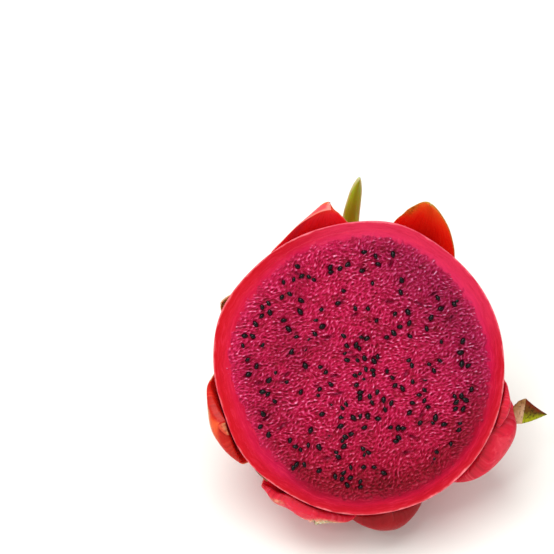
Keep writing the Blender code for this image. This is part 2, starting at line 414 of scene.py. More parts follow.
class Finish:
    """A procedural finish. Each kind names its material and says what feeds its shader."""

    label = "plain"
    reads: tuple[str, ...] = ()  # the mesh's float attributes that it needs

    def sockets(self, tree: Tree, place: Socket, *held: Socket) -> dict[str, object]:
        """What feeds the shader's inputs.

        Args:
            tree: the material's node tree.
            place: Object coordinates.
            held: the attributes' values, in the order of `reads`.

        Returns:
            Values and sockets by input name.
        """
        raise NotImplementedError

    def build(self) -> bpy.types.Material:
        """Makes the material, with a Principled shader that sockets() feeds."""
        material = bpy.data.materials.new(self.label)
        material.use_nodes = True
        tree = material.node_tree
        shader = tree.nodes["Principled BSDF"]
        held = [add(tree, "Attribute", out="Fac", attribute_name=name) for name in self.reads]
        for key, value in self.sockets(tree, add(tree, "TexCoord", out="Object"), *held).items():
            feed(tree, shader.inputs[key], value)
        return material


@dataclass(frozen=True)
class CutFinish(Finish):
    """Freshly cut fruit: wet granular flesh that passes into the smooth cut edge of the rind.

    The cells of the flesh stand up as fine pink grains on deep crimson, with a film of juice that
    glints, and the pale tops of the grains are a painted highlight. The rind's cut is smooth and even, pink beside the
    flesh, red outside, with a painted highlight as a pale line along its edge. The lower side of both is darkened by
    painted shade.
    """

    label = "wet_cut_flesh"
    reads = ("reach", "grain", "inward", "pit", "granular")
    # By the height of the cells, from deep crimson between them to pale pink tops, which are a painted highlight of
    # the wet grain
    grains: Stops = (
        (0.0, "#620010"), (0.25, "#860424"), (0.48, "#A40636"),
        (0.66, "#BA1E50"), (0.84, "#D4507C"), (1.0, "#F49CBC"),
    )
    # By the share of the cut's radius; the pale last stop paints a highlight along the cut edge
    wall: Stops = (
        (0.87, "#A80A3E"), (0.9, "#B80E40"), (0.93, "#B40C2E"),
        (0.965, "#B00A20"), (0.988, "#B81020"), (0.999, "#F08088"),
    )
    shade: str = "#B86673"  # painted shade: what darkens the lower side

    def sockets(self, tree: Tree, place: Socket, *held: Socket) -> dict[str, object]:
        """Colours the flesh by its grain and the rind by its reach, which meet at a ragged border."""
        out, grain, inward, pit, granular = held
        right = add(tree, "SeparateXYZ", add(tree, "UVMap", uv_map="UVMap"))
        up = right.node.outputs[1]
        clouds = add(tree, "TexNoise", pattern(place, 4 * MM))
        uneven = add(tree, "Math", clouds, 0.5, operation="SUBTRACT")
        reach = add(tree, "Math", uneven, 0.035, out, operation="MULTIPLY_ADD")
        fine = add(tree, "Math", add(tree, "TexNoise", pattern(place, 0.5 * MM, 2.0)), 0.5, operation="SUBTRACT")
        cells = add(tree, "Math", fine, 0.35, grain, operation="MULTIPLY_ADD")
        # Painted shade: the lower side is darkened to deep crimson on both sides of the border, but for its left end
        sides = [add(tree, "MapRange", *ends, **EASE) for ends in ((up, 0.05, -0.35), (right, -0.62, -0.35))]
        under = add(tree, "Math", *sides, operation="MULTIPLY")
        # Fibres run round the fruit: noise that changes fast outwards and slowly sideways
        paces = ((reach, 90.0), (right, 11.0), (up, 11.0))
        lanes = add(tree, "CombineXYZ", *(add(tree, "Math", *pair, operation="MULTIPLY") for pair in paces))
        strands = add(tree, "TexNoise", pattern(lanes, 1.0, 4.0))
        ragged = add(tree, "Math", fine, 0.5, granular, operation="MULTIPLY_ADD")
        edge = add(tree, "MapRange", ragged, 0.8, 0.2, **EASE)
        colour = tint(
            tree,
            self.flesh(tree, place, (right, up, reach), (cells, under, inward, pit)),
            self.rind(tree, (right, up, reach), under, strands),
            edge,
        )
        grainy = add(tree, "Math", 1.0, edge, operation="SUBTRACT")
        raised = add(tree, "Math", grainy, 0.9, 0.1, operation="MULTIPLY_ADD")
        bumps = add(tree, "Math", cells, raised, operation="MULTIPLY")
        return {
            "Base Color": colour,
            "Roughness": add(tree, "Math", strands, 0.2, 0.26, operation="MULTIPLY_ADD"),
            "IOR": 1.38,
            "Specular IOR Level": 0.12,
            "Subsurface Weight": 0.04,
            "Subsurface Radius": (1.0, 0.2, 0.2),
            "Subsurface Scale": 0.8 * MM,
            "Normal": add(tree, "Bump", {"Height": bumps, "Strength": 0.7, "Distance": 0.35 * MM}),
        }

    def flesh(self, tree: Tree, place: Socket, spot: tuple[Socket, ...], form: tuple[Socket, ...]) -> Socket:
        """The flesh's colour.

        Args:
            tree: the material's node tree.
            place: Object coordinates.
            spot: how far right, up and out each place is, as shares of the radius.
            form: the cells' height, and how far each place is in the painted shade of the lower side, inward and in a
                pit's painted shade.

        Returns:
            The colour.
        """
        (right, up, reach), (cells, under, inward, pit) = spot, form
        rise = add(tree, "Math", up, 0.6, operation="MULTIPLY")
        aslant = add(tree, "Math", right, 0.8, rise, operation="MULTIPLY_ADD")
        thick, clots = (add(tree, "TexNoise", pattern(place, *size)) for size in ((17 * MM, 2.0), (4 * MM, 3.0)))
        # Broad shifts of hue: dull violet where the flesh is thick, darker towards the upper right; low down it is
        # redder and darker by painted shade
        colour = washed(
            tree,
            add(tree, "ValToRGB", cells, stops=self.grains),
            (thick, 0.5, 0.72, 0.4, "#A04880", "MULTIPLY"),
            (aslant, 0.2, 0.8, 0.75, "#C2F4EA", "MULTIPLY"),
            (clots, 0.52, 0.72, 0.5, "#B03038", "MULTIPLY"),
            (up, -0.1, -0.85, 0.55, "#C81A2C", "MULTIPLY"),
        )
        outward = add(tree, "Math", 1.0, inward, operation="SUBTRACT")
        colour = tint(tree, colour, "#D82458", outward, 0.25)
        # Painted shade: the lower side of the outer flesh is darkened further
        outer = add(tree, "MapRange", reach, 0.7, 0.84, **EASE)
        colour = tint(tree, colour, self.shade, under, outer, 0.7, kind="MULTIPLY")
        # Painted shade in the hollows round seeds and in the slits
        return tint(tree, colour, "#4A0216", pit, 0.8)

    def rind(self, tree: Tree, spot: tuple[Socket, ...], under: Socket, strands: Socket) -> Socket:
        """The rind's colour: warmer at the left, rosier at the upper right, with fine fibres, and painted shade on the
        lower side.
        """
        right, up, reach = spot
        rise = add(tree, "Math", up, 0.87, operation="MULTIPLY")
        aside = add(tree, "Math", right, 0.5, rise, operation="MULTIPLY_ADD")
        colour = washed(
            tree,
            add(tree, "ValToRGB", reach, stops=self.wall),
            (right, -0.35, -0.95, 0.4, "#CC1014"),
            (aside, 0.5, 0.85, 0.38, "#DC3864"),
        )
        # Painted shade: the inner part of the rind is darkened on the lower side
        inner = add(tree, "MapRange", reach, 0.94, 0.895, **EASE)
        colour = tint(tree, colour, self.shade, under, inner, 0.8, kind="MULTIPLY")
        return washed(tree, colour, (strands, 0.48, 0.7, 0.3, "#E02E4C"), (strands, 0.5, 0.3, 0.3, "#A00418"))


def skin_colour(tree: Tree, place: Socket) -> Socket:
    """The skin's colour at a place: crimson to rose in broad clouds, with pores and pale flecks."""
    broad = add(tree, "TexNoise", pattern(place, 24 * MM))
    cells = add(tree, "TexVoronoi", {"Vector": place, "Scale": 1 / (1.5 * MM)}, out="Distance")
    return washed(
        tree,
        add(tree, "ValToRGB", broad, stops=((0.32, "#C41C3E"), (0.5, "#D62E4E"), (0.7, "#E2506A"))),
        # Pores: darker dots about 0.5 mm wide, 1.5 mm apart
        (cells, 0.34, 0.12, 0.2, "#A81030"),
        (add(tree, "TexNoise", pattern(place, 1.4 * MM, 4.0)), 0.52, 0.75, 0.2, "#EE8494"),
    )


@dataclass(frozen=True)
class SkinFinish(Finish):
    """The fruit's leathery skin: crimson pink under a thin wax bloom, finely speckled."""

    label = "waxy_pitaya_skin"
    reads = ("ridge",)
    ridge: str = "#E65A70"  # its ridges are paler

    def sockets(self, tree: Tree, place: Socket, *held: Socket) -> dict[str, object]:
        """Mottles the roughness and the relief at 2.4 mm."""
        mottle = add(tree, "TexNoise", pattern(place, 2.4 * MM, 5.0))
        return {
            "Base Color": tint(tree, skin_colour(tree, place), self.ridge, *held, 0.3),
            "Roughness": add(tree, "Math", mottle, 0.2, 0.32, operation="MULTIPLY_ADD"),
            "IOR": 1.45,
            "Specular IOR Level": 0.45,
            "Subsurface Weight": 0.15,
            "Subsurface Radius": (1.0, 0.25, 0.2),
            "Subsurface Scale": 1.5 * MM,
            "Normal": add(tree, "Bump", {"Height": mottle, "Strength": 0.25, "Distance": 0.5 * MM}),
        }


@dataclass(frozen=True)
class BractFinish(Finish):
    """A fleshy leaf: waxy outside, thinner-skinned inside, greener and drier towards its tip.

    Its root takes the skin's colours, so that the leaf grows out of the fruit without a line.
    """

    reads = ("along", "across", "inside", "margin", "folded", "crest", "dry")
    name: str
    outer: tuple[str, str, str, str]  # root, middle, beyond the middle, tip
    inner: tuple[str, str, str, str]
    edge: str = "#F2C8A8"
    turn: float = 0.62  # share of the length where the tip's colours begin
    streak: str = "#F07A84"
    streaks: float = 0.5
    withered: tuple[str, str] = ("#6A4A26", "#B8A060")
    round_veins: bool = False  # veins that run round the fruit, along a rolled end
    clear: float = 0.55  # share of the light that goes through the leaf's flesh
    reach: float = 2.6 * MM  # how far it goes
    creased: bool = False  # a folded margin, which lets little light through

    @property
    def label(self) -> str:
        """The material's name."""
        return "bract_" + self.name

    def veins(self, tree: Tree, along: Socket, across: Socket) -> Socket:
        """Noise drawn out along the leaf, or along its rolled end."""
        paces = ((across, 3.4), (along, 60.0)) if self.round_veins else ((across, 14.0), (along, 2.2))
        lanes = add(tree, "CombineXYZ", *(add(tree, "Math", *pair, operation="MULTIPLY") for pair in paces))
        return add(tree, "TexNoise", pattern(lanes, 1.0, 4.0, 0.6))

    def sockets(self, tree: Tree, place: Socket, *held: Socket) -> dict[str, object]:
        """Colours the leaf from the attributes that Bract.surface gives its mesh."""
        along, across, behind, margin, folded, crest, dry = held
        noise = add(tree, "TexNoise", pattern(place, 6 * MM, 4.0))
        patches = add(tree, "Math", noise, 0.5, operation="SUBTRACT")
        reach = add(tree, "Math", patches, 0.22, along, operation="MULTIPLY_ADD")
        # The margins green before the middle does
        side = add(tree, "Math", add(tree, "Math", across, operation="ABSOLUTE"), 3.0, operation="POWER")
        reach = add(tree, "Math", side, 0.12, reach, operation="MULTIPLY_ADD")
        places = (0.05, self.turn - 0.16, self.turn + 0.08, 0.97)
        outer, inner = (add(tree, "ValToRGB", reach, stops=tuple(zip(places, c))) for c in (self.outer, self.inner))
        outer = tint(tree, outer, skin_colour(tree, place), add(tree, "MapRange", along, 0.3, -0.1, **EASE))
        colour = tint(tree, outer, inner, add(tree, "MapRange", behind, 0.35, 0.65, **EASE))
        lines = self.veins(tree, along, across)
        young = 1.0 if self.round_veins else add(tree, "MapRange", reach, self.turn + 0.35, self.turn - 0.05, **EASE)
        free = add(tree, "MapRange", along, 0.0, 0.4, **EASE)
        lit = add(tree, "MapRange", lines, 0.5, 0.7, **EASE)
        colour = tint(tree, colour, self.streak, lit, young, self.streaks, free)
        deep = add(tree, "MapRange", lines, 0.48, 0.32, **EASE)
        colour = tint(tree, colour, "#A01828", deep, free, 0.6 * self.streaks, kind="MULTIPLY")
        colour = tint(tree, colour, self.streak, folded, 0.75)
        rim, far = (add(tree, "MapRange", *ends, **EASE) for ends in ((margin, 0.55, 0.1), (along, 0.25, 0.6)))
        colour = tint(tree, colour, self.edge, rim, far, 0.75)
        colour = tint(tree, colour, self.edge, crest)
        # Painted shade: a rolled end is darkened to deep red where it turns in beside the rind
        colour = washed(tree, colour, (behind, 0.85, 1.2, 0.6, "#B84858", "MULTIPLY"))
        spots = add(tree, "MapRange", add(tree, "TexNoise", pattern(place, 1.1 * MM, 4.0)), 0.4, 0.62, **EASE)
        colour = tint(tree, colour, tint(tree, *self.withered, spots), dry)
        fine = add(tree, "Math", add(tree, "TexNoise", pattern(place, 0.9 * MM)), 0.4, operation="MULTIPLY")
        height = add(tree, "Math", lines, 0.6, fine, operation="MULTIPLY_ADD")
        clear = self.clear
        if self.creased:
            clear = add(tree, "Math", folded, -0.9 * self.clear, self.clear, operation="MULTIPLY_ADD")
        return {
            "Base Color": colour,
            "Roughness": add(tree, "Math", patches, 0.2, 0.38, operation="MULTIPLY_ADD"),
            "IOR": 1.45,
            "Specular IOR Level": 0.22,
            "Subsurface Weight": clear,
            "Subsurface Radius": (1.0, 0.2, 0.12),
            "Subsurface Scale": self.reach,
            "Normal": add(tree, "Bump", {"Height": height, "Strength": 0.45, "Distance": 0.5 * MM}),
        }


@dataclass(frozen=True)
class SeedFinish(Finish):
    """A hard glossy black seed coat, wet with juice."""

    label = "black_seed_coat"

    def sockets(self, tree: Tree, place: Socket, *held: Socket) -> dict[str, object]:
        """Nearly black, with faint brown mottling and fine pores."""
        mottle, pores = (add(tree, "TexNoise", pattern(place, size)) for size in (0.7 * MM, 0.25 * MM))
        return {
            "Base Color": add(tree, "ValToRGB", mottle, stops=((0.35, "#030203"), (0.7, "#14090C"))),
            "Roughness": 0.16,
            "IOR": 1.45,
            "Specular IOR Level": 0.22,
            "Normal": add(tree, "Bump", {"Height": pores, "Strength": 0.3, "Distance": 0.1 * MM}),
        }


@dataclass(frozen=True)
class StubFinish(Finish):
    """Withered stem: grey-beige and olive cork, furrowed lengthwise, dark in the furrows."""

    label = "withered_stem"
    reads = ("round", "along")
    cork: Stops = ((0.3, "#3A2A18"), (0.45, "#7C6A3C"), (0.6, "#B3A06C"), (0.8, "#D2C69A"))

    def sockets(self, tree: Tree, place: Socket, *held: Socket) -> dict[str, object]:
        """Furrows follow the attributes round and along."""
        turn, along = held
        lanes = add(tree, "CombineXYZ", add(tree, "Math", turn, 22.0, operation="MULTIPLY"), along)
        furrow = add(tree, "TexNoise", pattern(lanes, 1.0, 5.0, 0.65))
        green = add(tree, "TexNoise", pattern(place, 4 * MM))
        cork = add(tree, "ValToRGB", furrow, stops=self.cork)
        return {
            "Base Color": washed(tree, cork, (green, 0.45, 0.65, 0.5, "#7F8A3C")),
            "Roughness": 0.85,
            "Normal": add(tree, "Bump", {"Height": furrow, "Strength": 0.9, "Distance": 0.8 * MM}),
        }


@dataclass(frozen=True)
class DryFinish(Finish):
    """A withered leaf tip: papery, brittle and mottled, from beige to olive and brown."""

    reads = ("across",)
    name: str
    colours: tuple[str, str, str]  # at one side, in the middle, at the other side
    spots: str = "#4A2A18"

    @property
    def label(self) -> str:
        """The material's name."""
        return "withered_" + self.name

    def sockets(self, tree: Tree, place: Socket, *held: Socket) -> dict[str, object]:
        """Colours run from side to side by the attribute across, in patches, with dark spots."""
        noise = add(tree, "TexNoise", pattern(place, 2 * MM, 4.0))
        patch = add(tree, "Math", noise, 0.5, operation="SUBTRACT")
        where = add(tree, "Math", *held, 0.5, 0.5, operation="MULTIPLY_ADD")
        where = add(tree, "Math", patch, 0.7, where, operation="MULTIPLY_ADD")
        colour = add(tree, "ValToRGB", where, stops=tuple(zip((0.15, 0.5, 0.85), self.colours)))
        dots = add(tree, "TexNoise", pattern(place, 0.8 * MM))
        return {
            "Base Color": washed(tree, colour, (dots, 0.56, 0.66, 0.7, self.spots)),
            "Roughness": 0.7,
            "Specular IOR Level": 0.15,
            "Normal": add(tree, "Bump", {"Height": patch, "Strength": 0.6, "Distance": 0.4 * MM}),
        }


@dataclass(frozen=True)
class PaperFinish(Finish):
    """Matte white paper for the floor, very faintly clouded."""

    label = "matte_white_paper"

    def sockets(self, tree: Tree, place: Socket, *held: Socket) -> dict[str, object]:
        """Clouds 300 mm wide, too pale to see but in the shade."""
        clouds = add(tree, "TexNoise", pattern(place, 300 * MM))
        return {"Base Color": tint(tree, "#EFF3EC", "#F3F6F0", clouds), "Roughness": 0.9, "Specular IOR Level": 0.2}


# --- Bracts ------------------------------------------------------------------------------------


@dataclass(frozen=True)
class Bract:
    """One leaf-like scale. The first sizes are those of its CAD node; the rest shape its flesh."""

    node: str
    angle: float  # degrees round the fruit, at the root
    root: float  # latitude in degrees where it leaves the skin
    top: float  # latitude in degrees that its tip reaches
    span: float  # degrees round the fruit that its root takes
    lift: float
    curl: float = 1.2
    lean: float = 0.0
    blunt: float = 2.0
    cup: float = 0.0
    thick: float = 2.0 * MM
    finish: str = "pink"
    tapers: tuple[float, float] = (0.85, 0.85)  # how fast its edges close in: smaller angles, larger
    slant: float = 0.0  # how much more of its height is at larger angles
    lip: float = 0.0  # extra thickness of a plump, rolled end
    blade: float = 0.0  # half width of a narrow free blade
    fold: float = 2.0  # share across beyond which the margin is folded down
    dry: Triples = ()  # withered stretches: along, across, spread
    fringe: float = 0.0  # height of the teeth along the withered end
    crest: float = 0.0  # how pale the outer edge of a plump end is
    foot: float = 11.0  # degrees of latitude that its foot runs on towards the stem
    wave: float = 0.3 * MM  # height of the ripples along its edges
    ripples: float = 1.6  # how many along the edge
    ragged: float = 0.02  # unevenness of its outline, as a share of its width
    start: int = 0  # seeds its unevenness
    rows: int = 84
    columns: int = 72

    EDGE_SHARE = 0.42  # thickness at the edge, as a share of the middle
    TIP_SHARE = 0.45  # and at the tip, as a share of the root
    SEAT = 0.45 * MM

    def half_width(self, along: Array, across: Array) -> Array:
        """Half width on the side of `across`, below 0 along in the foot.

        It tapers as (1 - along^blunt)^taper, with a taper for each side, and over the foot as a
        half ellipse. A blade keeps its own width, (1 - along^5)^0.8, where that is the larger.
        """
        root = BODY.girth(math.radians(self.angle), np.array(math.radians(self.root)))
        taper = np.where(across < 0, self.tapers[0], self.tapers[1])
        closing = np.maximum(1.0 - np.clip(along, 0.0, 1.0) ** self.blunt, 0.0) ** taper
        foot = np.clip(-along * (self.root - self.top) / self.foot, 0.0, 1.0)
        width = 0.5 * math.radians(self.span) * root * closing * np.sqrt(1.0 - foot**2)
        blade = self.blade * np.maximum(1.0 - np.clip(along, 0.0, 1.0) ** 5, 0.0) ** 0.8 * (foot == 0)
        return np.maximum(np.maximum(width, blade), 0.1 * MM)

    def thickness(self, along: Array) -> Array:
        """Falls evenly to the tip, swells again over a plump end, and rounds off over the last bit."""
        reach = np.clip(along, 0.0, 1.0)
        thick = self.thick * (1.0 - (1.0 - self.TIP_SHARE) * reach) + self.lip * smooth(reach, 0.45, 0.9)
        return thick * np.sqrt(np.maximum(1.0 - np.clip((along - 0.9) / 0.1, 0.0, 1.0) ** 2, 0.04))

    def withering(self, along: Array, across: Array) -> Array:
        """How withered each place is: a bell curve about each dry stretch."""
        total = 0.0 * along * across
        for mid_along, mid_across, spread in self.dry:
            away = ((along - mid_along) / (0.5 * spread)) ** 2 + ((across - mid_across) / spread) ** 2
            total = np.maximum(total, np.exp(-(away**1.5)))
        return total

    def surface(self) -> Surface:
        """The leaf as rings across it, each a flat lens from edge to edge over the outer face and back.

        A ring's place is the cosine of its turn across the leaf and a power of its sine through the
        thickness. The height off the skin grows as along^curl. The foot sinks into the skin, so the
        leaf grows out of it without a step.
        """
        length = self.root - self.top
        first = -self.foot / length
        share, turn = rings(self.rows, self.columns)
        along = first + (1.0 - first) * (1.0 - (1.0 - share) ** 1.35)
        across, through = np.cos(turn), np.sin(turn)
        reach = np.clip(along, 0.0, 1.0)
        width, thick = self.half_width(along, across), self.thickness(along)
        dry = self.withering(along, across)
        if self.lip:  # a rolled end withers along its outer edge only
            dry = dry * smooth(through, 0.0, 0.6) * smooth(along, 0.99, 0.94)
        lift = self.SEAT + self.lift * reach**self.curl * (1.0 + self.slant * across)
        foot = np.clip(along / first, 0.0, 1.0)
        root = 1.0 - smooth(along, 0.0, 0.3)
        # Outer face: level with the CAD's, sinking below the skin along the foot
        outer = (lift + thick) * np.cos(0.5 * math.pi * foot) ** 2 - 0.5 * MM * foot
        plump = smooth(reach, 0.6, 0.95) if self.lip else 0.0 * reach
        inner = lift * (1.0 - 0.85 * plump) - (lift + 0.8 * MM) * root
        middle = 0.5 * (outer + inner) + self.cup * across**2 * reach
        middle = middle - (2.0 * MM * across**2 + 0.9 * MM * across**6) * root
        edge = self.EDGE_SHARE + (0.9 - self.EDGE_SHARE) * plump
        body = 0.5 * (outer - inner) * (1.0 - (1.0 - edge) * across**2)
        height = middle + body * np.sign(through) * np.abs(through) ** 0.5
        free = smooth(along, 0.15, 0.8)
        beat = math.tau * self.ripples * along + 1.7 * self.start
        height = height + self.wave * free * np.abs(across) ** 3 * np.sin(beat + 1.1 * across)
        height = height + 0.7 * self.wave * free * ripple(across * width, along * 30 * MM, 9 * MM, self.start + 40)
        height = height - 2.2 * MM * free * np.maximum(0.0, (across - self.fold) / (1.0 - min(self.fold, 0.99)))
        teeth = ripple(np.degrees(across) * MM * 0.4, 0 * across, 1.3 * MM, self.start + 90, 7)
        height = height + self.fringe * dry * teeth
        uneven = 1.0 + self.ragged * ripple(along * 40 * MM, np.sign(across) * 9 * MM, 9 * MM, self.start + 7, 9)
        latitude = np.radians(self.root - length * along + 0.6 * (self.fringe > 0) * dry * teeth)
        centre = math.radians(self.angle) + np.radians(self.lean) * reach**1.5
        girth = BODY.girth(math.radians(self.angle), latitude) + lift
        points = BODY.skin(centre + across * width * uneven / girth, latitude, height)
        ahead = np.radians(length) * (1.0 - along) * 0.5 * (BODY.depth + BODY.radius)
        values = {
            "along": np.maximum(along, -0.4) + 0 * across,
            "across": across + 0 * along,
            # past 0.85 the finish darkens it as painted shade, mostly on a rolled end's inner side
            "inside": 0.5 - 0.5 * through + 0.38 * plump,
            "margin": np.minimum((1.0 - np.abs(across)) * width, ahead) / MM + 2.0 * plump,
            "dry": dry,
            "crest": self.crest * plump * smooth(through, 0.25, 0.75)
            * smooth(along, 0.96, 0.9) * smooth(across, 0.6, 0.0),
            "folded": smooth(across, self.fold + 0.1, self.fold + 0.3) * free,
        }
        return tube(points, values)


class Side(Enum):
    """Which bracts a group holds."""

    RIM = "round the cut"
    BACK = "behind it"
    STEM = "round the stem"


RIM_BRACTS = (
    Bract(
        "bract_right_top", 58, 31, 1.5, 38, 8.4 * MM, 1.3, 7.5, 1.9, cup=0.6 * MM, finish="orange",
        tapers=(0.88, 0.75), dry=((0.72, 1.05, 0.3),), wave=0.08 * MM, ragged=0.006, start=1,
    ),
    Bract(
        "bract_spike", 92.3, 46, 9, 26, 13.2 * MM, 1.7, -4.0, 1.2, cup=0.5 * MM, finish="olive",
        thick=2.5 * MM, tapers=(2.2, 2.2), blade=2.8 * MM, dry=((1.04, 0.0, 0.14),), wave=0.12 * MM, start=2,
    ),
    Bract(
        "bract_left_top", 110.5, 28, 2, 46, 6.4 * MM, 1.4, -11.6, 1.7, finish="crimson", tapers=(1.25, 0.6),
        fold=0.2, wave=0.1 * MM, start=3,
    ),
    Bract(
        "bract_left", 202, 29, 1, 46, 1.5 * MM, 0.8, -2, 4.5, finish="scarlet", lip=2.4 * MM, tapers=(0.85, 0.6),
        slant=0.2, crest=0.8, start=4,
    ),
    Bract(
        "bract_left_low", 248.5, 27, 1.5, 49, 1.4 * MM, 0.75, 2, 5.0, thick=1.8 * MM, finish="rose", lip=2.4 * MM,
        slant=-0.6, tapers=(0.25, 0.7), dry=((1.0, 0.5, 0.5), (1.0, -1.0, 0.16)), fringe=0.5 * MM, crest=0.6, start=5,
    ),
    # Its dark finish is painted shade, for a leaf that lies in shadow below the rim
    Bract(
        "bract_bottom", 278.5, 40, 5, 49, 1.6 * MM, 0.8, 3, 4.5, finish="dark", lip=4.4 * MM, tapers=(0.8, 1.1),
        wave=0.0, ragged=0.0, start=6,
    ),
    Bract(
        "bract_right_inner", 340, 24, 1, 34, 1.6 * MM, 0.9, 4, 3.0, thick=1.6 * MM, finish="rose", lip=0.8 * MM,
        wave=0.0, start=7,
    ),
    Bract(
        "bract_right", 324.5, 36, 4, 55, 1.7 * MM, 0.6, 8, 5.0, thick=2.4 * MM, finish="rose", slant=0.35,
        lip=5.3 * MM, tapers=(0.5, 0.85), wave=0.05 * MM, ragged=0.0, start=8,
    ),
)

BACK_BRACTS = (
    Bract("bract_back_right", 17, 54, 15, 46, 2.4 * MM, 1.5, -3, 1.8, start=9),
    Bract("bract_back_top", 58, 62, 36, 43, 2.4 * MM, 1.5, 3, 1.7, start=10),
    Bract("bract_back_left", 151, 56, 17, 53, 2.8 * MM, 1.5, 3, 1.8, start=11),
    Bract("bract_low_left", 198, 62, 35, 43, 1.6 * MM, 1.4, -3, 1.7, start=12),
    Bract("bract_under_left", 241, 62, 38, 40.5, 0.5 * MM, 1.2, -2, 1.8, start=13),
    Bract("bract_under_right", 298, 62, 47, 44.5, 0.5 * MM, 1.2, 2, 1.8, start=14),
)

STEM_SCALES = tuple(
    Bract(
        f"stem_scale_{i + 1}", 24 + 72 * i, 78, 67, 55, 0.9 * MM, blunt=2.6, thick=2.2 * MM,
        finish="scale", foot=7.0, start=20 + i, rows=48, columns=40,
    )
    for i in range(5)
)

BRACT_FINISHES = (
    BractFinish("pink", ("#D42A4C", "#E0485E", "#D8B850", "#86A83A"), ("#B81024", "#D8401E", "#B89A38", "#8C9A3C")),
    BractFinish(
        "orange", ("#D42A4C", "#E0485E", "#D89A48", "#8C9A3C"), ("#B80408", "#E8180A", "#F42E10", "#F0641C"),
        edge="#A08A34", streak="#FF6038", streaks=0.25, withered=("#8C7A1C", "#D08A28"),
    ),
    BractFinish(
        "scarlet", ("#D42A4C", "#D83848", "#DC4030", "#E05A2C"), ("#B80408", "#C8100A", "#C4180C", "#BC180C"),
        edge="#CDB586", streak="#E84430", streaks=0.4, round_veins=True,
    ),
    BractFinish(
        "crimson", ("#C41C38", "#CC2A40", "#E0404C", "#E8683C"), ("#F01828", "#FF3C4C", "#FF5060", "#E88040"),
        edge="#F08878", streak="#EC4058", clear=1.0, reach=5.5 * MM, creased=True,
    ),
    BractFinish(
        "rose", ("#D42A4C", "#D62C48", "#D83048", "#D83448"), ("#B80414", "#C80C24", "#D01634", "#D01C38"),
        edge="#F0A8A0", streak="#E8586C", streaks=0.55, withered=("#A8A070", "#EEDCB4"), round_veins=True,
    ),
    # Painted shade: a darker copy of the leaf colours, for the bottom leaf that lies in shadow
    BractFinish(
        "dark", ("#D42A4C", "#C02038", "#A00812", "#980610"), ("#80000A", "#92040E", "#9A0612", "#9A0612"),
        edge="#B83038", streak="#B02030", streaks=0.3, round_veins=True,
    ),
    BractFinish(
        "olive", ("#D42A4C", "#BC983C", "#A4A824", "#6E7A28"), ("#B8C830", "#B6D022", "#B0D01C", "#98C020"),
        edge="#C8C890", turn=0.45, streak="#6E9A24", streaks=0.6, withered=("#3A3420", "#6A6438"),
    ),
    BractFinish(
        "scale", ("#CC2444", "#D83E54", "#C0A048", "#86963C"), ("#B01828", "#CC4830", "#B0943C", "#8C903C"), turn=0.55
    ),
)


@dataclass(frozen=True)
class Flap:
    """A small thin sheet between two curved edges, each given by three points in face millimetres."""

    name: str
    first: Triples
    second: Triples
    bulge: float = 0.6  # mm towards the front, in the middle
    thick: float = 0.45  # mm
    rows: int = 30
    columns: int = 28

    def edge(self, ends: Triples, share: Array) -> Array:
        """A curve through three points: the parabola that passes the middle one half way."""
        start, middle, end = (np.array(p, float) for p in ends)
        return start * (1 - share) * (1 - 2 * share) + 4 * middle * share * (1 - share) + end * share * (2 * share - 1)

    def surface(self) -> Surface:
        """Rings from edge to edge: a lens of the sheet's thickness, bulged as sine times sine."""
        u, turn = (part[..., None] for part in rings(self.rows, self.columns))
        v = 0.5 - 0.5 * np.cos(turn)
        points = (1 - v) * self.edge(self.first, u) + v * self.edge(self.second, u)
        through = np.sign(np.sin(turn)) * np.abs(np.sin(turn)) ** 0.6
        rise = self.bulge * np.sin(math.pi * v) * np.sin(math.pi * np.clip(u, 0.03, 0.97)) + 0.5 * self.thick * through
        points = points + rise * np.array((0.0, 0.0, 1.0))
        x, y = points[..., 0] * MM, points[..., 1] * MM
        points[..., 2] += 0.18 * ripple(x, y, 1.8 * MM, len(self.name))
        return tube(points * MM, {"across": (2 * v - 1 + 0 * u)[..., 0]})


# Each flap and the finish that it takes
FLAPS = (
    (
        Flap("fold_right", ((45.3, -12.6, -3.8), (46.8, -10.6, -2.6), (48.9, -9.7, -1.2)),
             ((46.4, -17.4, -3.6), (46.9, -17.3, -2.8), (47.6, -17.2, -1.6)), 0.4),
        DryFinish("beige", ("#8A6238", "#B08A68", "#C09A78")),
    ),
    (
        Flap("tip_right", ((48.9, -9.7, -1.3), (51.9, -12.3, -3.0), (55.8, -14.9, -5.5)),
             ((47.6, -17.2, -1.7), (51.6, -16.3, -3.4), (55.8, -14.9, -5.5)), 0.5),
        DryFinish("olive_brown", ("#6A2206", "#5A3E06", "#98980C"), "#2A1808"),
    ),
    (
        Flap("flap_low_left", ((-31.9, -28.6, -2.6), (-30.6, -30.4, -2.0), (-28.2, -32.8, -2.4)),
             ((-30.6, -28.4, -2.4), (-29.2, -29.8, -1.8), (-27.0, -32.4, -2.2)), 0.5),
        DryFinish("brown", ("#7A4A2A", "#A86A48", "#C05048")),
    ),
    (
        Flap("flap_left", ((-42.4, -15.6, -1.6), (-41.4, -17.2, -0.9), (-39.6, -18.9, -1.4)),
             ((-40.0, -14.8, -1.4), (-39.6, -16.6, -0.7), (-38.9, -18.7, -1.3)), 0.5),
        DryFinish("rosy_beige", ("#D8402C", "#D0583C", "#B87A54"), "#A83828"),
    ),
)


@dataclass
class BractSet:
    """A group of bracts: their shapes, and one finish for each kind."""

    side: Side
    bracts: tuple[Bract, ...]
    finishes: dict[str, bpy.types.Material]

    def build(self) -> list[bpy.types.Object]:
        """Makes each bract in the place of its node."""
        made = []
        for bract in self.bracts:
            leaf, material = "leaf_" + bract.node, self.finishes[bract.finish]
            made.append(finish_piece(bract.surface(), leaf, [material], [bract.node]))
        log.info("%d bracts %s", len(made), self.side.value)
        return made


# --- Rind --------------------------------------------------------------------------------------


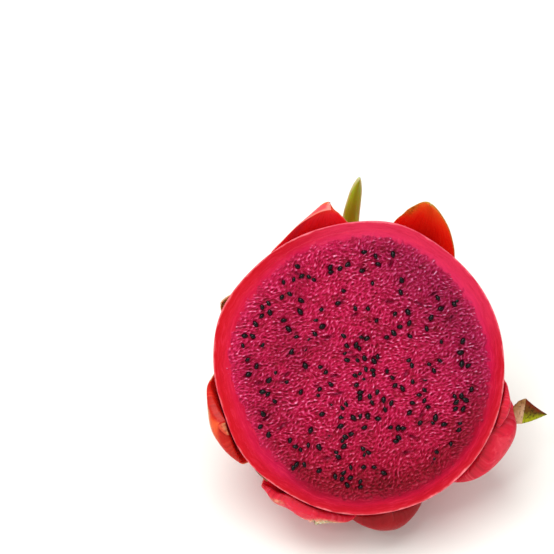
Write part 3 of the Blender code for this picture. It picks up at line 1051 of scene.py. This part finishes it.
@dataclass
class Rind:
    """The skin and its wall: relief where bracts grow, a crisp cut edge, and a hollow inside."""

    bracts: tuple[Bract, ...]
    skin: bpy.types.Material
    cut: bpy.types.Material
    columns: int = 400
    skin_rows: int = 190
    cut_rows: int = 26
    wall_rows: int = 14
    lap: float = 0.7 * MM  # how far the cut edge runs in under the flesh

    @staticmethod
    def sag(gone: Array) -> Array:
        """Height of the cut at a distance in from the skin: it sags mid-wall and ends in a thin bead."""
        bead = 0.16 * MM * smooth(-gone, -0.9 * MM, -0.15 * MM) - 0.12 * MM * smooth(-gone, -0.3 * MM, 0.0)
        return bead - 0.1 * MM * np.sin(math.pi * np.clip(gone / BODY.rind, 0.0, 1.0))

    def relief(self, angle: Array, latitude: Array) -> tuple[Array, Array]:
        """Height of the skin's relief, and how much of it is a bract's ridge.

        Each bract stands on a ridge that rises towards its root, is widest there and runs on
        towards the stem; between them the skin undulates gently.
        """
        ridge = np.zeros(np.broadcast(angle, latitude).shape)
        for bract in self.bracts:
            away = np.angle(np.exp(1j * (angle - math.radians(bract.angle))))
            past = np.degrees(latitude) - bract.root
            half = 0.5 * math.radians(bract.span)
            spread = half * (1.0 - 0.3 * smooth(past, 0.0, 22.0))
            side = np.exp(-((np.abs(away) / (0.72 * spread)) ** 3.0))
            length = smooth(past, 24.0, 2.0) * smooth(past, -6.0, 1.0)
            ridge = np.maximum(ridge, side * length * bract.thick / (2.0 * MM))
        broad = ripple(angle * BODY.radius * 0.8, latitude * BODY.depth * 0.7, 26 * MM, 3)
        calm = smooth(latitude, 0.02, 0.3) * smooth(latitude, 1.55, 1.2)
        return 1.35 * MM * ridge * smooth(latitude, 0.0, 0.12) + 0.28 * MM * broad * calm, ridge

    def surface(self) -> Surface:
        """Carries one profile round the fruit: up the inner wall, over the cut and down the skin."""
        share, angle = rings(self.cut_rows, self.columns)
        wall = np.radians(np.linspace(89.5, 1.0, self.wall_rows))[:, None]
        inside = BODY.skin(angle, wall, -BODY.rind)
        rim = BODY.outline(angle)
        out = rim - BODY.rind - self.lap + (BODY.rind + self.lap - 0.12 * MM) * share
        gone = rim - out
        covered = BODY.rind - FILM
        under = -0.5 * MM * smooth(gone, covered + 0.1 * MM, covered + 0.9 * MM)
        flat = np.stack((out * np.cos(angle), out * np.sin(angle), self.sag(gone) + under), axis=-1)
        steps = np.linspace(0.0, 1.0, self.skin_rows)[:, None]
        latitude = np.radians(0.35 + 89.4 * steps**1.15)
        lift, ridge = self.relief(angle, latitude)
        outside = BODY.skin(angle, latitude, lift)
        points = np.concatenate((inside, flat, outside))
        reach = np.concatenate((0.8 + 0 * inside[..., 0], out / rim, 1.0 + 0 * outside[..., 0]))
        ridges = np.concatenate((0 * inside[..., 0], 0 * flat[..., 0], ridge))
        shape = tube(points, {"reach": reach, "ridge": ridges, "grain": 0.5 + 0 * reach})
        shape.uv = shape.points[:, :2] / BODY.radius
        before = self.wall_rows + self.cut_rows - 1
        rows = np.repeat(np.arange(len(points) - 1), self.columns)
        slots = np.where(rows < before, 1, 0)
        shape.slots = np.concatenate((slots, np.ones(self.columns), np.zeros(self.columns)))
        return shape

    def build(self) -> bpy.types.Object:
        """Makes the rind in the place of its node."""
        return finish_piece(self.surface(), "skin_and_rind", [self.skin, self.cut], ["rind"])


# --- Flesh and seeds ---------------------------------------------------------------------------


@dataclass(frozen=True)
class Spot:
    """A seed's place in the cut: centre, turn, size and how far it stands out."""

    x: float
    y: float
    turn: float
    scale: float
    shows: float
    tilt: float


@dataclass
class SeedBed:
    """Where the seeds lie. The CAD's seeds keep their places, and the rest are strewn between."""

    count: int = 190
    reach: float = 35.4 * MM
    apart: float = 1.3 * MM
    start: int = 11
    # Thick patches of seeds: x, y and spread in millimetres, and weight
    patches: tuple[tuple[float, float, float, float], ...] = (
        (0.5, 1.5, 4.5, 2.0), (2, -8, 7, 0.7), (33, 6, 4, 1.0), (28, 15, 5, 0.5), (-15, 30, 8, 0.8),
        (15, 29, 5, 0.5), (-2, -31, 11, 0.4), (-20, -27, 6, 0.45), (25, -20, 10, 0.6), (-28, 18, 7, 0.4),
    )
    even: float = 0.22  # how readily a seed lies outside them
    full: float = 1.6  # the sum at which seeds lie as thick as they get

    def thickness(self, x: float, y: float) -> float:
        """How readily a seed lies here, from 0 to 1: an even share plus each patch's bell curve."""
        total = self.even
        for px, py, spread, weight in self.patches:
            total += weight * math.exp(-((x - px * MM) ** 2 + (y - py * MM) ** 2) / (spread * MM) ** 2)
        return min(total, self.full) / self.full

    def nodes(self) -> dict[str, Spot]:
        """The spot of each seed that the CAD has."""
        rng = np.random.default_rng(self.start)
        found = {}
        for name in sorted(n for n in frame["nodes"] if n.startswith("seed_")):
            low, high = (np.array(corner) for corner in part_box(name))
            x, y, _ = PLACE.local((low + high) / 2)
            turn, tilt = rng.uniform(0, math.pi), rng.uniform(-0.3, 0.3)
            found[name] = Spot(float(x), float(y), turn, rng.uniform(0.92, 1.04), 0.48 * MM, tilt)
        return found

    def strewn(self, taken: list[Spot]) -> list[Spot]:
        """The other seeds, tried at random and kept by thickness and distance."""
        rng = np.random.default_rng(self.start + 1)
        kept = list(taken)
        while len(kept) < self.count:
            away, turn = self.reach * math.sqrt(rng.random()), rng.uniform(0, math.tau)
            x, y = away * math.cos(turn), away * math.sin(turn)
            chance, way, size, sunk, tilt = rng.random(5)
            near = min(math.hypot(x - s.x, y - s.y) for s in kept)
            if chance > self.thickness(x, y) or near < self.apart:
                continue
            shows = (-0.18 + 0.82 * sunk**0.7) * MM
            kept.append(Spot(x, y, way * math.tau, 0.84 + 0.42 * size, shows, 1.2 * (tilt - 0.5)))
        return kept[len(taken) :]


@dataclass(frozen=True)
class SeedShape:
    """A teardrop: rings round its long axis, plump at one end and drawn in at the other."""

    length: float = 2.1 * MM
    width: float = 1.42 * MM
    height: float = 1.35 * MM
    rows: int = 7
    columns: int = 10

    def surface(self, spot: Spot) -> Surface:
        """One seed at its spot. Its radius follows the sine along its length, less at the tip."""
        share, turn = rings(self.rows, self.columns, 0.04)
        girth = np.sin(math.pi * share) ** 0.75 * (1.08 - 0.35 * share)
        x = (share - 0.5) * self.length + 0 * turn
        y = 0.5 * self.width * girth * np.cos(turn)
        z = 0.5 * self.height * girth * np.sin(turn)
        points = np.stack((x, y, z), axis=-1) * spot.scale
        (rise, level), (side, ahead) = ((math.sin(a), math.cos(a)) for a in (spot.tilt, spot.turn))
        lean = np.array(((level, 0, rise), (0, 1, 0), (-rise, 0, level)))
        spin = np.array(((ahead, side, 0), (-side, ahead, 0), (0, 0, 1)))
        sunk = spot.shows - 0.5 * self.height * spot.scale
        return tube(points @ lean @ spin + np.array((spot.x, spot.y, sunk)))


def joined(parts: list[Surface]) -> Surface:
    """Several surfaces as one mesh of separate closed bodies."""
    starts = np.cumsum([0] + [len(p.points) for p in parts[:-1]])
    return Surface(
        np.concatenate([p.points for p in parts]),
        np.concatenate([p.quads + s for p, s in zip(parts, starts)]),
        np.concatenate([p.triangles + s for p, s in zip(parts, starts)]),
    )


@dataclass
class Flesh:
    """The flesh: a granular cut with a dimple round each seed, over a smooth hidden dome."""

    spots: list[Spot]
    finish: bpy.types.Material
    side: int = 296  # points along each side of the square that is bent to the cut's disc
    under_rows: int = 5
    dash: float = 0.9 * MM  # length of a row of cells
    grid: float = 0.28 * MM  # spacing of the worked-out grain
    grain_height: float = 0.46 * MM
    slits: int = 26  # hollows that seeds have left
    brink: float = 0.998  # share of the disc beyond which the film dives under
    # Where the grain ends, as a share of the radius, and how that changes round the fruit
    border: float = 0.893
    borders: Triples = ((30.0, 18.0, -0.015), (150.0, 16.0, -0.02), (217.0, 24.0, -0.05))
    start: int = 31

    def flow(self, x: Array, y: Array) -> Array:
        """Direction of the cells in radians: a shallow slant that wavers."""
        waver = 0.32 * ripple(x, y, 9 * MM, self.start, 10) + 0.25 * ripple(x, y, 4 * MM, self.start + 8, 10)
        return 0.36 + waver

    def grain(self, x: Array, y: Array) -> Array:
        """Rows of cells: random dots smeared along the flow, as 0 to 1 at each place.

        The dots lie on a square grid. Each step moves every grid point along the flow by one
        spacing, both ways, and adds up what it finds there. Most of the mean of the nearest
        five by five is then taken off, so that rows stand side by side with dark between them.
        """
        half = int(BODY.radius / self.grid) + 2
        rng = np.random.default_rng(self.start)
        dots = rng.random((2 * half + 1, 2 * half + 1))
        axis = (np.arange(2 * half + 1) - half) * self.grid
        gx, gy = np.meshgrid(axis, axis, indexing="ij")
        total = dots.copy()
        steps = max(1, int(0.5 * self.dash / self.grid))
        for way in (1.0, -1.0):
            px, py = gx.copy(), gy.copy()
            for _ in range(steps):
                turn = self.flow(px, py)
                px, py = px + way * self.grid * np.cos(turn), py + way * self.grid * np.sin(turn)
                total += self.sample(dots, px, py, half)
        window = range(-2, 3)
        near = sum(np.roll(total, (i, j), (0, 1)) for i in window for j in window) / len(window) ** 2
        total = total - 0.85 * near
        total = (total - total.mean()) / total.std()
        return np.clip(0.5 + 0.27 * self.sample(total, x, y, half), 0.0, 1.0)

    def sample(self, field_: Array, x: Array, y: Array, half: int) -> Array:
        """Reads a grid between its points, by the shares of the four nearest."""
        u = np.clip(x / self.grid + half, 0, 2 * half - 1e-6)
        v = np.clip(y / self.grid + half, 0, 2 * half - 1e-6)
        i, j = u.astype(int), v.astype(int)
        a, b = u - i, v - j
        low = field_[i, j] * (1 - b) + field_[i, j + 1] * b
        high = field_[i + 1, j] * (1 - b) + field_[i + 1, j + 1] * b
        return low * (1 - a) + high * a

    def dimples(self, x: Array, y: Array) -> tuple[Array, Array]:
        """Depth of the hollows round seeds and of empty slits, and how much painted shade darkens each place."""
        depth, dark = np.zeros(x.shape), np.zeros(x.shape)
        rng = np.random.default_rng(self.start + 2)
        # Each hollow: place, turn, length, width, depth, and the strength of its painted shade
        hollows = [(s.x, s.y, s.turn, 1.1 * MM * s.scale, 0.9 * MM * s.scale, 0.45, 0.7) for s in self.spots]
        for spot, (way, size) in zip(self.spots, rng.random((len(self.spots), 2))):
            aside, turn = 0.9 * MM * size, math.tau * way
            px, py = spot.x + aside * math.cos(turn), spot.y + aside * math.sin(turn)
            hollows.append((px, py, turn, 1.2 * MM * size, 0.8 * MM * size, 0.3, 0.8 * size))
        for away, turn, size in rng.random((self.slits, 3)):
            r, a = 34 * MM * math.sqrt(away), math.tau * turn
            px, py = r * math.cos(a), r * math.sin(a)
            flow = float(self.flow(np.array(px), np.array(py)))
            hollows.append((px, py, flow, 1.1 * MM + size * MM, 0.55 * MM, 0.8, 1.0))
        for px, py, turn, length, width, deep, shade in hollows:
            near = (np.abs(x - px) < 4 * MM) & (np.abs(y - py) < 4 * MM)
            dx, dy = x[near] - px, y[near] - py
            u = dx * math.cos(turn) + dy * math.sin(turn)
            v = dy * math.cos(turn) - dx * math.sin(turn)
            bell = np.exp(-((u / length) ** 2) - (v / width) ** 2)
            depth[near] = np.maximum(depth[near], deep * MM * bell)
            dark[near] = np.maximum(dark[near], shade * bell)
        return depth, dark

    def surface(self) -> Surface:
        """Bends a square grid to the cut's disc, then closes it below with rings down the dome.

        Each square ring of the grid becomes a circle: the larger coordinate is the share of the
        radius, and the ratio of the smaller to it is the angle within a quarter turn.
        """
        edge = np.linspace(-1.0, 1.0, self.side - 2)
        edge = np.concatenate(([-1.0, -self.brink], edge[1:-1], [self.brink, 1.0]))
        s, t = np.meshgrid(edge, edge, indexing="ij")
        wide = np.abs(s) >= np.abs(t)
        big = np.where(wide, s, t)
        other = np.where(wide, t, s)
        ratio = np.divide(other, big, out=np.zeros_like(big), where=np.abs(big) > 1e-12)
        angle = np.where(wide, ratio * math.pi / 4, math.pi / 2 - ratio * math.pi / 4)
        angle = np.where(big < 0, angle + math.pi, angle)
        share = np.abs(big)
        rim = BODY.outline(angle)
        limit = rim - BODY.rind + FILM
        x, y = share * limit * np.cos(angle), share * limit * np.sin(angle)
        away = share * limit / rim
        grain = self.grain(x, y)
        depth, dark = self.dimples(x, y)
        border = bells(angle, self.border, self.borders)
        uneven = 0.008 * ripple(x, y, 5 * MM, self.start + 4) + 0.006 * ripple(x, y, 2 * MM, self.start + 6)
        granular = smooth(border - away + uneven, -0.022, 0.026)
        inward = smooth(border - away, -0.02, 0.09)
        z = self.grain_height * (grain - 0.5) * granular * (0.35 + 0.65 * inward) - depth
        z = z + 0.16 * MM * ripple(x, y, 11 * MM, self.start + 5) * granular - 0.12 * MM * granular
        z = z + Rind.sag(rim - share * limit) * (1.0 - granular) + 0.015 * MM
        z = np.where(share > 0.999, -0.3 * MM, z)
        top = np.stack((x, y, z), axis=-1).reshape(-1, 3)
        index = np.arange(self.side**2).reshape(self.side, self.side)
        quads = np.stack((index[:-1, :-1], index[1:, :-1], index[1:, 1:], index[:-1, 1:]), axis=-1).reshape(-1, 4)
        loop = np.concatenate((index[:-1, 0], index[-1, :-1], index[:0:-1, -1], index[0, :0:-1]))
        round_ = angle.reshape(-1)[loop]
        rows = [loop]
        points = [top]
        for step in range(self.under_rows):
            latitude = math.radians(2.5 + 85 * (step / (self.under_rows - 1)) ** 0.9)
            rows.append(np.arange(len(loop)) + sum(len(p) for p in points))
            points.append(BODY.skin(round_, np.full(round_.shape, latitude), -BODY.rind))
        points.append(np.array([[0.0, 0.0, -(BODY.depth - BODY.rind)]]))
        pole = sum(len(p) for p in points) - 1
        sides = [np.stack((a, b, np.roll(b, -1), np.roll(a, -1)), axis=-1) for a, b in zip(rows, rows[1:])]
        dive = (share.reshape(-1)[quads] > 0.999).any(axis=1)
        fan = np.stack((rows[-1], np.full(len(loop), pole), np.roll(rows[-1], -1)), axis=-1)
        every = np.concatenate(points)
        below = len(every) - len(top)
        # Each attribute on the cut, and its value on the hidden dome
        fields = {
            "reach": (away, 0.8), "grain": (grain, 0.5), "pit": (dark, 0.0),
            "granular": (granular, 0.0), "inward": (inward, 0.0),
        }
        values = {k: np.concatenate((v.ravel(), np.full(below, rest))) for k, (v, rest) in fields.items()}
        shape = Surface(every, np.concatenate((quads, *sides)), fan, values)
        shape.uv = every[:, :2] / BODY.radius
        below_faces = len(shape.quads) + len(shape.triangles) - len(dive)
        shape.flat = np.concatenate((dive, np.zeros(below_faces, bool)))
        return shape

    def build(self) -> bpy.types.Object:
        """Makes the flesh in the place of its node."""
        return finish_piece(self.surface(), "red_flesh", [self.finish], ["flesh"])


@dataclass
class Seeds:
    """All the seeds: one piece for each that the CAD has, and one for those strewn between."""

    placed: dict[str, Spot]
    strewn: list[Spot]
    finish: bpy.types.Material
    shape: SeedShape = field(default_factory=SeedShape)

    def build(self) -> list[bpy.types.Object]:
        """Makes the seeds."""
        made = []
        for name, spot in self.placed.items():
            made.append(finish_piece(self.shape.surface(spot), "black_" + name, [self.finish], [name]))
        rest = joined([self.shape.surface(spot).outward() for spot in self.strewn])
        made.append(finish_piece(rest, "strewn_seeds", [self.finish], []))
        return made


# --- Stem --------------------------------------------------------------------------------------


@dataclass
class Stub:
    """The dried stump: a furrowed waist that flares to a ragged, sunken end."""

    finish: bpy.types.Material
    radius: float = 4.4 * MM
    length: float = 6.5 * MM
    rows: int = 60
    columns: int = 96

    def surface(self) -> Surface:
        """Rings down the stem: the radius follows a waisted curve, and furrows run lengthwise."""
        share, turn = rings(self.rows, self.columns)
        side = np.clip(share / 0.72, 0.0, 1.0)
        over = np.clip((share - 0.72) / 0.28, 0.0, 1.0)
        waist = 0.98 - 0.34 * np.sin(math.pi * side) ** 1.2 + 0.05 * side
        lobes = 0.09 * np.sin(3 * turn + 2 * side) + 0.05 * np.sin(5 * turn)
        furrows = 0.035 * np.sin(17 * turn + 3 * side) + 0.025 * np.sin(29 * turn - 2 * side)
        out = self.radius * (waist + lobes + furrows) * (1.0 - 0.97 * over**1.3)
        down = self.length * side - 0.7 * MM * side * (1.0 + np.sin(2 * turn))
        down = down + 0.35 * MM * side * np.sin(9 * turn) - 1.1 * MM * np.sin(math.pi * 0.5 * over) * over
        down = down + BODY.depth - 1.2 * MM * (1.0 - side) ** 2
        points = np.stack((out * np.cos(turn), out * np.sin(turn), -down), axis=-1)
        values = {"round": np.sin(turn) + 0.6 * np.cos(3 * turn) + 0 * share, "along": share + 0 * turn}
        return tube(points, values)

    def build(self) -> bpy.types.Object:
        """Makes the stem in the place of its node."""
        return finish_piece(self.surface(), "dried_stem", [self.finish], ["stem_stub"])


# --- Studio ------------------------------------------------------------------------------------


@dataclass
class Studio:
    """A white floor, soft lights and a camera that looks straight at the cut."""

    lens: float = 100.0  # mm
    sensor: float = 36.0  # mm
    field: float = 163.0 * MM  # width of the view at the cut
    left: float = 24.4 * MM  # how far the view's middle lies to the left of the cut's
    above: float = 27.1 * MM
    floor_half: float = 4.0  # m

    def floor(self) -> bpy.types.Object:
        """One large white square at the height that the half rests on."""
        size = self.floor_half
        mesh = bpy.data.meshes.new("white_floor")
        corners = [(-size, -size, 0.0), (size, -size, 0.0), (size, size, 0.0), (-size, size, 0.0)]
        mesh.from_pydata(corners, [], [(0, 1, 2, 3)])
        thing = bpy.data.objects.new("white_floor", mesh)
        bpy.context.scene.collection.objects.link(thing)
        mesh.materials.append(PaperFinish().build())
        return thing

    def light(self, name: str, place: tuple[float, float, float], size: float, power: float) -> None:
        """A square white area light, `size` metres wide, that faces the half."""
        data = bpy.data.lights.new(name, "AREA")
        data.size, data.energy = size, power
        lamp = bpy.data.objects.new(name, data)
        bpy.context.scene.collection.objects.link(lamp)
        lamp.location = place
        lamp.rotation_euler = Vector(place).to_track_quat("Z", "Y").to_euler()

    def camera(self) -> None:
        """The camera faces the cut squarely, so that its outline stays round, a little off its axis."""
        across, rise, normal = PLACE.axes.T
        roll = math.atan2(across[2], rise[2])
        level = math.cos(roll) * across - math.sin(roll) * rise
        upright = np.cross(normal, level)
        away = self.field * self.lens / self.sensor
        spot = PLACE.centre + normal * away - level * self.left + upright * self.above
        data = bpy.data.cameras.new("view")
        data.lens, data.sensor_width = self.lens, self.sensor
        data.clip_start, data.clip_end = 0.02, 20.0
        thing = bpy.data.objects.new("view", data)
        bpy.context.scene.collection.objects.link(thing)
        turn = np.column_stack((level, upright, normal))
        matrix = np.eye(4)
        matrix[:3, :3], matrix[:3, 3] = turn, spot
        thing.matrix_world = Matrix(matrix.tolist())
        bpy.context.scene.camera = thing

    def build(self) -> None:
        """Sets the floor, the lights, the surroundings and the camera."""
        self.floor()
        self.light("overhead", (-0.2, -0.1, 1.15), 0.7, 9.5)
        self.light("front_fill", (-0.5, -1.1, 0.7), 0.7, 2.0)
        self.light("glint", (-0.35, -0.6, 1.0), 0.12, 1.2)
        world = bpy.data.worlds.new("white_room")
        bpy.context.scene.world = world
        world.use_nodes = True
        sky = world.node_tree.nodes["Background"]
        sky.inputs["Color"].default_value = (1.0, 1.0, 1.0, 1.0)
        sky.inputs["Strength"].default_value = 0.66
        bpy.context.scene.view_settings.view_transform = "Standard"
        self.camera()


def main() -> None:
    """Builds the half and its studio in order."""
    logging.basicConfig(level=logging.INFO, format="%(message)s")
    skin, cut, seed = SkinFinish().build(), CutFinish().build(), SeedFinish().build()
    finishes = {f.name: f.build() for f in BRACT_FINISHES}
    every = (*RIM_BRACTS, *BACK_BRACTS, *STEM_SCALES)
    Rind(every, skin, cut).build()
    bed = SeedBed()
    placed = bed.nodes()
    strewn = bed.strewn(list(placed.values()))
    Flesh([*placed.values(), *strewn], cut).build()
    Seeds(placed, strewn, seed).build()
    for side, group in ((Side.RIM, RIM_BRACTS), (Side.BACK, BACK_BRACTS), (Side.STEM, STEM_SCALES)):
        BractSet(side, group, finishes).build()
    for flap, finish in FLAPS:
        finish_piece(flap.surface(), flap.name, [finish.build()], [])
    Stub(StubFinish().build()).build()
    Studio().build()


if __name__ == "__main__":
    main()
